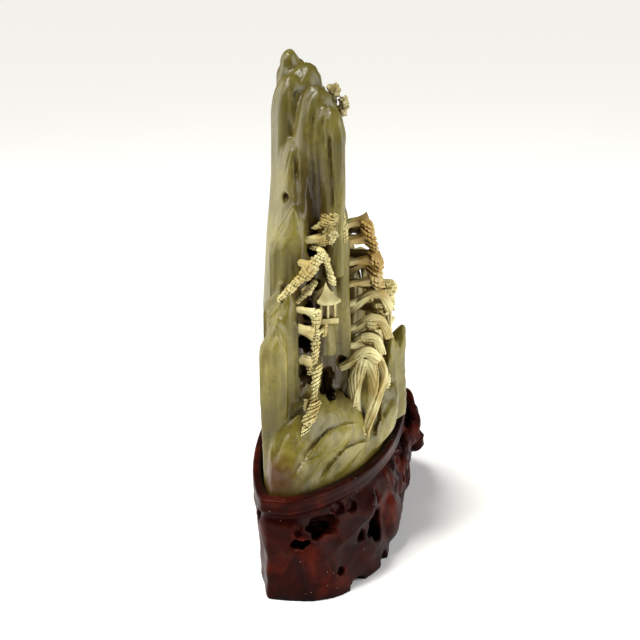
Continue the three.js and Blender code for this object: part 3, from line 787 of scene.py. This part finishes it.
def pavilion(at, wide, deep, post_height, roof_height, turn):
    post = 1.5
    parts = [block((0, 0, -1.5), (wide * 1.25, deep * 1.25, 3))]
    for sx in (-1, 1):
        for sy in (-1, 0, 1):
            x, y = sx * (wide - post) / 2, sy * (deep - post) / 2
            parts.append(block((x, y, post_height / 2), (post, post, post_height + 1)))
    parts.append(block((0, 0, post_height / 2), (wide * 0.55, deep * 0.9, post_height + 1)))
    parts.append(hip_roof(wide * 1.42, deep * 1.42, post_height, roof_height))
    spin = Matrix.Rotation(math.radians(turn), 3, "Z")
    for part in parts:
        for v in part.data.vertices:
            v.co = spin @ v.co + Vector(at) / 1000
    return parts


PAVILIONS = [
    dict(at=(-54, -6, 151), wide=11, deep=9.5, post_height=8, roof_height=11, turn=25),
    dict(at=(50, -21, 106), wide=14, deep=12, post_height=9, roof_height=12, turn=-6),
]
for spec in PAVILIONS:
    tree_forms += pavilion(**spec)

trees = united(tree_forms)
trees.name = trees.data.name = "trees"
foliage_tree = bvhtree.BVHTree.FromObject(trees, bpy.context.evaluated_depsgraph_get())

# The finished stone
# Rock, trees and pavilions are one block of soapstone: they are grown together, the
# rock is given its chiselled grain and the back is left as polished.


def reshaped(piece, new_place):
    """Moves every point of a piece to new_place(point, normal), in millimetres."""
    normals = [v.normal.copy() for v in piece.data.vertices]
    places = [new_place(v.co * 1000, n) / 1000 for v, n in zip(piece.data.vertices, normals)]
    piece.data.vertices.foreach_set("co", [c for place in places for c in place])
    piece.data.update()
    return piece


def weathered(p, n):
    """Chisel grain: long upright ripples on the cliffs, softer and rounder on the hillside."""
    cliff = min(1.0, max(0.0, (p.z - 96) / 25))
    polish = 1 - 0.8 * min(1.0, max(0.0, n.y * 1.6 - 0.3))
    upright_grain = noise.noise(Vector((p.x / 5.5, p.y / 5.5, p.z / 46)))
    upright_grain -= 0.8 * (1 - abs(noise.noise(Vector((p.x / 7, p.y / 7, p.z / 60 + 3))))) ** 8
    fine_grain = noise.noise(Vector((p.x / 2.1, p.y / 2.1, p.z / 22 + 9)))
    broad = noise.noise(Vector((p.x / 15, p.y / 15, p.z / 26 + 31)))
    slope_grain = noise.noise(Vector(((p.x + p.z) / 16, (p.y + p.z * 0.7) / 5, (p.z - p.x * 0.6) / 7)))
    lift = cliff * (0.85 * upright_grain + 0.3 * fine_grain) + (1 - cliff) * 0.9 * slope_grain + 0.7 * broad
    hold = min(1.0, max(0.0, (p.z - STAND_TOP - 1) / 4))
    return p + n * (lift * polish * hold)


mountain = thinned(reshaped(reshaped(rock, carved), weathered), 80000)
mountain = one_piece(united([mountain, trees]))
for v in mountain.data.vertices:
    v.co.z = max(v.co.z, STONE_FOOT / 1000)

# which faces belong to the trees, for their paler colour
leaf = mountain.data.attributes.new("leaf", "FLOAT", "FACE")
for i, face in enumerate(mountain.data.polygons):
    spot, normal, _, _ = foliage_tree.find_nearest(face.center, 0.0003)
    leaf.data[i].value = 1.0 if spot is not None and normal.dot(face.normal) > 0.7 else 0.0
only(mountain)
bpy.ops.object.shade_smooth_by_angle(angle=math.radians(52))
mountain.name = mountain.data.name = "soapstone_mountain"

# Soapstone, carved with chisels and hand polished: a soft waxy gloss over a mottled
# olive and cream body with darker clouds and one rusty iron patch low at the near end;
# painted shade browns the deep grooves and recesses and darkens the stone towards the peak.
soapstone = bpy.data.materials.new("polished_soapstone")
soapstone.use_nodes = True
bsdf = soapstone.node_tree.nodes["Principled BSDF"]
coords = add_node(soapstone, "ShaderNodeTexCoord")
place_of = coords.outputs["Object"]
clouds = add_node(soapstone, "ShaderNodeTexNoise", {"Vector": place_of, "Scale": 30, "Detail": 6,
                                                    "Roughness": 0.6, "Distortion": 0.6})
body_colour = add_node(soapstone, "ShaderNodeValToRGB", {"Fac": clouds.outputs["Fac"]})
ramp = body_colour.color_ramp
ramp.elements[0].position, ramp.elements[0].color = 0.25, linear("#524911")
ramp.elements[1].position, ramp.elements[1].color = 0.78, linear("#9c9147")
middle = ramp.elements.new(0.5)
middle.color = linear("#6f651e")
stretch = add_node(soapstone, "ShaderNodeMapping", {"Vector": place_of, "Scale": (1.0, 1.0, 0.22)})
streaks = add_node(soapstone, "ShaderNodeTexNoise", {"Vector": stretch.outputs["Vector"], "Scale": 160,
                                                     "Detail": 4})
streak_mask = add_node(soapstone, "ShaderNodeMapRange", {"Value": streaks.outputs["Fac"], "From Min": 0.5,
                                                         "From Max": 0.78, "To Max": 0.55})
streaked = add_node(soapstone, "ShaderNodeMix", {"Factor": streak_mask.outputs["Result"],
                                                 "A": body_colour.outputs["Color"],
                                                 "B": linear("#39320e")}, data_type="RGBA")
specks = add_node(soapstone, "ShaderNodeTexNoise", {"Vector": place_of, "Scale": 420, "Detail": 2})
speck_mask = add_node(soapstone, "ShaderNodeMapRange", {"Value": specks.outputs["Fac"], "From Min": 0.56,
                                                        "From Max": 0.74, "To Max": 0.5})
speckled = add_node(soapstone, "ShaderNodeMix", {"Factor": speck_mask.outputs["Result"],
                                                 "A": streaked.outputs["Result"],
                                                 "B": linear("#5a4718")}, data_type="RGBA")
from_patch = add_node(soapstone, "ShaderNodeVectorMath", {0: place_of, 1: (-0.099, 0.0140, 0.069)},
                      operation="DISTANCE")
patch_edge = add_node(soapstone, "ShaderNodeTexNoise", {"Vector": place_of, "Scale": 260, "Detail": 3})
uneven = add_node(soapstone, "ShaderNodeMath", {0: patch_edge.outputs["Fac"], 1: 0.007, 2: from_patch.outputs["Value"]},
                  operation="MULTIPLY_ADD")
patch_mask = add_node(soapstone, "ShaderNodeMapRange", {"Value": uneven.outputs["Value"], "From Min": 0.009,
                                                        "From Max": 0.022, "To Min": 0.97, "To Max": 0.0})
rusty = add_node(soapstone, "ShaderNodeMix", {"Factor": patch_mask.outputs["Result"],
                                              "A": speckled.outputs["Result"],
                                              "B": linear("#4c2d03")}, data_type="RGBA")
axes = add_node(soapstone, "ShaderNodeSeparateXYZ", {"Vector": place_of})
# painted shade: the stone is darkened towards the peak, where less light falls on it
peak_shade_mask = add_node(soapstone, "ShaderNodeMapRange", {"Value": axes.outputs["Z"], "From Min": 0.195,
                                                       "From Max": 0.245, "To Max": 0.55})
peak_shaded = add_node(soapstone, "ShaderNodeMix", {"Factor": peak_shade_mask.outputs["Result"],
                                                "A": rusty.outputs["Result"],
                                                "B": linear("#4a4213")}, data_type="RGBA")
# painted shade: dark brown laid over the rock round a few deep recesses behind the trees, where shade falls
squashed = add_node(soapstone, "ShaderNodeMapping", {"Vector": place_of, "Scale": (1.0, 1.0, 0.35)})
RECESS_SHADE_SPOTS = [(-0.045, -0.010, 0.038), (-0.064, 0.004, 0.048), (-0.020, -0.011, 0.062), (-0.043, 0.005, 0.0735)]
nearest = None
for centre in RECESS_SHADE_SPOTS:
    gap = add_node(soapstone, "ShaderNodeVectorMath", {0: squashed.outputs["Vector"], 1: centre},
                   operation="DISTANCE").outputs["Value"]
    nearest = gap if nearest is None else add_node(soapstone, "ShaderNodeMath", {0: nearest, 1: gap},
                                                   operation="MINIMUM").outputs["Value"]
shade_spot_edge = add_node(soapstone, "ShaderNodeMath", {0: patch_edge.outputs["Fac"], 1: 0.010, 2: nearest},
                      operation="MULTIPLY_ADD")
shade_spot_mask = add_node(soapstone, "ShaderNodeMapRange", {"Value": shade_spot_edge.outputs["Value"], "From Min": 0.010,
                                                       "From Max": 0.021, "To Min": 0.88, "To Max": 0.0})
spot_shaded = add_node(soapstone, "ShaderNodeMix", {"Factor": shade_spot_mask.outputs["Result"],
                                              "A": peak_shaded.outputs["Result"],
                                              "B": linear("#35270a")}, data_type="RGBA")
amber_clouds = add_node(soapstone, "ShaderNodeTexNoise", {"Vector": place_of, "Scale": 70, "Detail": 2})
amber_mask = add_node(soapstone, "ShaderNodeMapRange", {"Value": amber_clouds.outputs["Fac"], "From Min": 0.42,
                                                        "From Max": 0.62})
needles = add_node(soapstone, "ShaderNodeMix", {"Factor": amber_mask.outputs["Result"],
                                                "A": linear("#dfd69c"),
                                                "B": linear("#b7a362")}, data_type="RGBA")
# the needles high up at the front are mixed towards a browner tone
high_up = add_node(soapstone, "ShaderNodeMapRange", {"Value": axes.outputs["Z"], "From Min": 0.150,
                                                     "From Max": 0.172})
proud = add_node(soapstone, "ShaderNodeMapRange", {"Value": axes.outputs["Y"], "From Min": -0.014,
                                                   "From Max": -0.022})
upper_front_mask = add_node(soapstone, "ShaderNodeMath", {0: high_up.outputs["Result"], 1: proud.outputs["Result"]},
                   operation="MULTIPLY")
upper_front_browner = add_node(soapstone, "ShaderNodeMix", {"Factor": upper_front_mask.outputs["Value"],
                                             "A": needles.outputs["Result"],
                                             "B": linear("#b0914f")}, data_type="RGBA")
# painted shade: the needles are darkened towards the peak in the same way
peak_needles_shaded = add_node(soapstone, "ShaderNodeMix", {"Factor": peak_shade_mask.outputs["Result"],
                                                     "A": upper_front_browner.outputs["Result"],
                                                     "B": linear("#5e4f22")}, data_type="RGBA")
# painted shade: occlusion over 30 mm darkens the stone and the needles in recesses and behind the trees
recess = add_node(soapstone, "ShaderNodeAmbientOcclusion", {"Distance": 0.030}, samples=8)
recess_shade_mask = add_node(soapstone, "ShaderNodeMapRange", {"Value": recess.outputs["AO"], "From Min": 0.2,
                                                         "From Max": 0.78, "To Min": 1.0, "To Max": 0.0})
body_shaded = add_node(soapstone, "ShaderNodeMix", {"Factor": recess_shade_mask.outputs["Result"],
                                                    "A": spot_shaded.outputs["Result"],
                                                    "B": linear("#3d290d")}, data_type="RGBA")
needle_shade_mask = add_node(soapstone, "ShaderNodeMapRange", {"Value": recess.outputs["AO"], "From Min": 0.08,
                                                         "From Max": 0.6, "To Min": 0.92, "To Max": 0.0})
needles_shaded = add_node(soapstone, "ShaderNodeMix", {"Factor": needle_shade_mask.outputs["Result"],
                                                       "A": peak_needles_shaded.outputs["Result"],
                                                       "B": linear("#5f451a")}, data_type="RGBA")
leaf_value = add_node(soapstone, "ShaderNodeAttribute", attribute_name="leaf")
shaded = add_node(soapstone, "ShaderNodeMix", {"Factor": leaf_value.outputs["Fac"],
                                               "A": body_shaded.outputs["Result"],
                                               "B": needles_shaded.outputs["Result"]}, data_type="RGBA")
# painted shade: occlusion over 3 mm browns the grooves between the knobs and the fine cracks of the stone
crack = add_node(soapstone, "ShaderNodeAmbientOcclusion", {"Distance": 0.003}, samples=6)
crack_shade_mask = add_node(soapstone, "ShaderNodeMapRange", {"Value": crack.outputs["AO"], "From Min": 0.1,
                                                        "From Max": 0.5, "To Min": 0.5, "To Max": 0.0})
crack_shade_colour = add_node(soapstone, "ShaderNodeMix", {"Factor": leaf_value.outputs["Fac"], "A": linear("#5c4a1a"),
                                             "B": linear("#85692f")}, data_type="RGBA")
crack_shaded = add_node(soapstone, "ShaderNodeMix", {"Factor": crack_shade_mask.outputs["Result"],
                                                "A": shaded.outputs["Result"],
                                                "B": crack_shade_colour.outputs["Result"]}, data_type="RGBA")
soapstone.node_tree.links.new(crack_shaded.outputs["Result"], bsdf.inputs["Base Color"])
grit = add_node(soapstone, "ShaderNodeTexNoise", {"Vector": place_of, "Scale": 900, "Detail": 3})
drawn = add_node(soapstone, "ShaderNodeMapping", {"Vector": place_of, "Scale": (1.0, 1.0, 0.07)})
tool_lines = add_node(soapstone, "ShaderNodeTexNoise", {"Vector": drawn.outputs["Vector"], "Scale": 420,
                                                        "Detail": 2})
ground = add_node(soapstone, "ShaderNodeBump", {"Height": tool_lines.outputs["Fac"], "Strength": 0.35,
                                                "Distance": 0.0010})
bump = add_node(soapstone, "ShaderNodeBump", {"Height": grit.outputs["Fac"], "Strength": 0.12,
                                              "Distance": 0.0006, "Normal": ground.outputs["Normal"]})
soapstone.node_tree.links.new(bump.outputs["Normal"], bsdf.inputs["Normal"])
bsdf.inputs["Roughness"].default_value = 0.36
bsdf.inputs["Specular IOR Level"].default_value = 0.42
bsdf.inputs["IOR"].default_value = 1.54
bsdf.inputs["Subsurface Weight"].default_value = 0.08
bsdf.inputs["Subsurface Radius"].default_value = (1.0, 0.8, 0.35)
bsdf.inputs["Subsurface Scale"].default_value = 0.002
mountain.data.materials.clear()
mountain.data.materials.append(soapstone)
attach(mountain, "root")
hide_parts("mountain_carving")

# The stand
# A rockwork base carved from one block of dark stained hardwood and varnished: a moulded
# rim with a seat for the stone, a hollow under the rim, holes pierced through the
# rockwork, gnarled roots at the front and broad feet between shallow arches.
RIM_FRONT, RIM_BACK = -42.0, 45.0
HALF = LENGTH / 2
RIM_WIDTH = 5.0

# height, inset of the ends, of the front and of the back, nose, bluntness, squareness
STAND_ROWS = [
    (0, 3.5, 0, 4.5, 4, 11, (4.2, 1.6)),
    (9, 3.5, -0.5, 4.5, 5, 10, (3.9, 1.6)),
    (24, 3, -1.5, 3.5, 6, 9, (3.2, 1.6)),
    (38, 2, -2.5, 2.5, 8, 8, (2.7, 1.6)),
    (46, 3.0, 1.4, 1.8, 10, 7, (2.5, 1.7)),
    (50.5, 5.5, 5.4, 4.2, 11, 7, (2.5, 1.7)),
    (53.5, 1.2, 0.8, 1.2, 11, 7, (2.5, 1.7)),
    (54.5, 0.2, 0, 0.2, 11, 7, (2.5, 1.7)),
    (55.6, 0.3, 0, 0.3, 11, 7, (2.5, 1.7)),
    (56.4, 1.2, 0.9, 1.2, 11, 7, (2.5, 1.7)),
    (60.5, 0, 0, 0, 11, 7, (2.5, 1.7)),
    (62, 1, 1, 1, 11, 7, (2.5, 1.7)),
]


def stand_outline(x, y, ends, front, back, nose=11.0, blunt=7.0, full=(2.5, 1.7)):
    return boat(x, y, ends - HALF, HALF - ends, RIM_FRONT + front, RIM_BACK - back, nose, blunt, full)


def stand_place(x, y, t):
    z = 62 * t
    _, ends, front, back, nose, blunt, full = between(STAND_ROWS, z)
    px, py = stand_outline(x, y, ends, front, back, nose, blunt, full)
    theta = math.atan2(y, x)
    fade = min(1.0, max(0.0, (51 - z) / 6))
    swell = 1.5 * fade * (math.sin(11 * theta + z * 0.06) + 0.6 * math.sin(5 * theta - z * 0.1))
    return (px + x * swell * 0.5, py + y * swell, z)


def seat_place(x, y, t):
    return (*stand_outline(x, y, RIM_WIDTH + 2, RIM_WIDTH, RIM_WIDTH, blunt=4), SEAT + t * 13)


ROOTS = [
    dict(path=[(96, -20, 44), (80, -34.5, 57), (64, -40, 53), (46, -45, 50), (28, -42, 42), (12, -38, 26)],
         radii=(5.2, 5.6)),
    dict(path=[(60, -38, 52), (52, -44, 42), (54, -39, 27), (48, -31, 8)], radii=(4.8, 5.2)),
    dict(path=[(32, -38, 52), (24, -42, 44), (34, -40, 28), (26, -36, 10)], radii=(4.3, 5.6)),
    dict(path=[(14, 34, 10), (30, 41, 24), (48, 47.9, 38), (74, 32, 50)], radii=(5.6, 5.6)),
]
KNOTS = [
    ((62, -41, 52), (8, 6, 6)),
    ((38, -43.5, 45), (7, 7, 7)),
    ((46, -46, 39.5), (7, 7, 8.5)),
    ((20, -39, 30), (7, 6, 7)),
    ((-26, -37.5, 18), (22, 9.5, 17.5)),
]
HOLES = [
    ((-60, -36, 27.5), (10.5, 14, 9.4), -22),
    ((-49, -39, 40.5), (4.8, 8, 3.6), -16),
    ((-76, -32, 27), (3.4, 6, 3.6), -38),
    ((-93, -23, 13.5), (3.4, 5, 2.8), -45),
    ((-86, -22, 48.5), (6.8, 7, 3.4), -38),
    ((-77, -28, 46.5), (5, 7, 4), -32),
    ((-97, -10, 41.5), (12.5, 9, 5.6), -52),
    ((-104, -1, 35.5), (5.2, 8, 3.6), -60),
    ((-114, -8, 43), (9.5, 14, 8.5), 17),
    ((-100, 25, 46), (7, 3.4, 5.5), -42),
    ((-16, -43, 20), (6, 7, 8), -6),
    ((4, -45, 40), (14, 7, 12), 0),
    ((78, -38, 22), (6, 8, 8), 30),
    ((52, 40, 26), (8, 7, 8), 0),
]
ARCHES = [
    ((-84, -34, 0), (8, 12, 5), -35),
    ((-53, -47, 0), (7.5, 10, 10), 0),
    ((-6, -50, 0), (20, 10, 5), 0),
    ((84, -34, 0), (10, 10, 6), 35),
    ((-10, 47, 0), (22, 10, 6), 0),
]

stand = form(160, 62, stand_place)
stand = cut(stand, joined([egg(at, half, turn=turn, rough=0.55) for at, half, turn in HOLES], "holes"))
root_forms = [limb(**root, sides=32, rows=40, lobes=4, depth=0.2, turns=0.4) for root in ROOTS]
knot_forms = [egg(at, half) for at, half in KNOTS]
stand = fused(joined([stand, *root_forms, *knot_forms], "stand"), 0.9)
stand = cut(stand, joined([egg(at, half, turn=turn) for at, half, turn in ARCHES], "arches"))
stand = cut(stand, form(160, 6, seat_place))
stand = relaxed(one_piece(fused(stand, 0.75)), 2)


# Soft ridges that flow up towards the rim: the line, its height and half width
RIDGES = [
    ([(-96, -18, 29), (-86, -23, 32), (-78, -29, 36), (-68, -33, 38), (-46, -37, 44)], 2.2, 3.6),
    ([(-108, 2, 20), (-100, -12, 26), (-92, -20, 24)], 1.2, 4.0),
    ([(-70, -32, 12), (-60, -36, 16), (-50, -38, 22)], 1.0, 3.5),
    ([(-104, -2, 49.5), (-92, -14, 47.5), (-74, -26, 45)], -1.2, 2.4),
]


def flowing(p, n):
    """Soft knife ripples and ridges that run round the rockwork, none on the rim or the feet."""
    below_rim = min(1.0, max(0.0, (50 - p.z) / 5)) * min(1.0, p.z / 3)
    flow = noise.noise(Vector(((p.x + p.z) / 22, (p.y - p.z) / 16, (p.z * 1.5 - p.x * 0.5) / 24)))
    ripple = noise.noise(Vector((p.x / 9, p.y / 9, p.z / 9 + 5)))
    crags = min(1.0, max(0.0, (p.x + 40) / 30)) * (0.5 - abs(noise.noise(p / 9 + Vector((3, 8, 1)))) * 2.4)
    lift = 1.2 * flow + 0.5 * ripple + 1.1 * crags * (1 if p.y < 0 else 0.3)
    for line, height, width in RIDGES:
        if below_rim and (p - Vector(line[1])).length < 60:
            gap, foot, run, ends = beside(p, line)
            lift += height * min(1.0, 0.3 + ends / 10) * math.exp(-(gap / width) ** 2)
    p = p + n * (lift * below_rim * (1 - abs(n.z) * 0.5))
    p.z = 0.0 if p.z < 0.4 else min(p.z, STAND_TOP)
    if n.z > 0.9 and abs(p.z - SEAT) < 0.8:
        p.z = SEAT
    return p


stand = reshaped(stand, flowing)
stand = thinned(stand, 150000)
only(stand)
bpy.ops.object.shade_smooth_by_angle(angle=math.radians(45))
stand.name = stand.data.name = "rockwork_stand"

# Hardwood stained dark red-brown and varnished: a clear gloss over fine upright grain,
# the stain clouded from near-black to orange-brown, with specks of dust; painted shade turns the holes and hollows
# black.
hardwood = bpy.data.materials.new("varnished_hardwood")
hardwood.use_nodes = True
bsdf = hardwood.node_tree.nodes["Principled BSDF"]
coords = add_node(hardwood, "ShaderNodeTexCoord")
place_of = coords.outputs["Object"]
stain_clouds = add_node(hardwood, "ShaderNodeTexNoise", {"Vector": place_of, "Scale": 45, "Detail": 4,
                                                         "Roughness": 0.6, "Distortion": 0.8})
stain = add_node(hardwood, "ShaderNodeValToRGB", {"Fac": stain_clouds.outputs["Fac"]})
ramp = stain.color_ramp
ramp.elements[0].position, ramp.elements[0].color = 0.3, linear("#0f0302")
ramp.elements[1].position, ramp.elements[1].color = 0.75, linear("#54180b")
middle = ramp.elements.new(0.52)
middle.color = linear("#2c0a05")
along = add_node(hardwood, "ShaderNodeMapping", {"Vector": place_of, "Scale": (0.15, 1.0, 1.0)})
grain = add_node(hardwood, "ShaderNodeTexNoise", {"Vector": along.outputs["Vector"], "Scale": 900, "Detail": 3})
# painted shade: occlusion turns the holes, the hollow under the rim and the arches near black
hole_dark = add_node(hardwood, "ShaderNodeAmbientOcclusion", {"Distance": 0.022}, samples=6)
hole_shade_mask = add_node(hardwood, "ShaderNodeMapRange", {"Value": hole_dark.outputs["AO"], "From Min": 0.25,
                                                      "From Max": 0.85, "To Min": 1.0, "To Max": 0.0})
hole_shaded = add_node(hardwood, "ShaderNodeMix", {"Factor": hole_shade_mask.outputs["Result"],
                                                "A": stain.outputs["Color"],
                                                "B": linear("#040101")}, data_type="RGBA")
dust = add_node(hardwood, "ShaderNodeTexVoronoi", {"Vector": place_of, "Scale": 180, "Randomness": 1.0})
dust_mask = add_node(hardwood, "ShaderNodeMapRange", {"Value": dust.outputs["Distance"], "From Min": 0.035,
                                                      "From Max": 0.06, "To Min": 0.7, "To Max": 0.0})
dust_and_hole_shade = add_node(hardwood, "ShaderNodeMix", {"Factor": dust_mask.outputs["Result"],
                                             "A": hole_shaded.outputs["Result"],
                                             "B": linear("#a8948a")}, data_type="RGBA")
hardwood.node_tree.links.new(dust_and_hole_shade.outputs["Result"], bsdf.inputs["Base Color"])
bump = add_node(hardwood, "ShaderNodeBump", {"Height": grain.outputs["Fac"], "Strength": 0.15, "Distance": 0.0005})
hardwood.node_tree.links.new(bump.outputs["Normal"], bsdf.inputs["Normal"])
bsdf.inputs["Roughness"].default_value = 0.34
bsdf.inputs["Specular IOR Level"].default_value = 0.045
stand.data.materials.clear()
stand.data.materials.append(hardwood)
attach(stand, "root")
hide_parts("carved_stand")

print("triangles", [(o.name, sum(len(p.vertices) - 2 for p in o.data.polygons)) for o in (mountain, stand)])
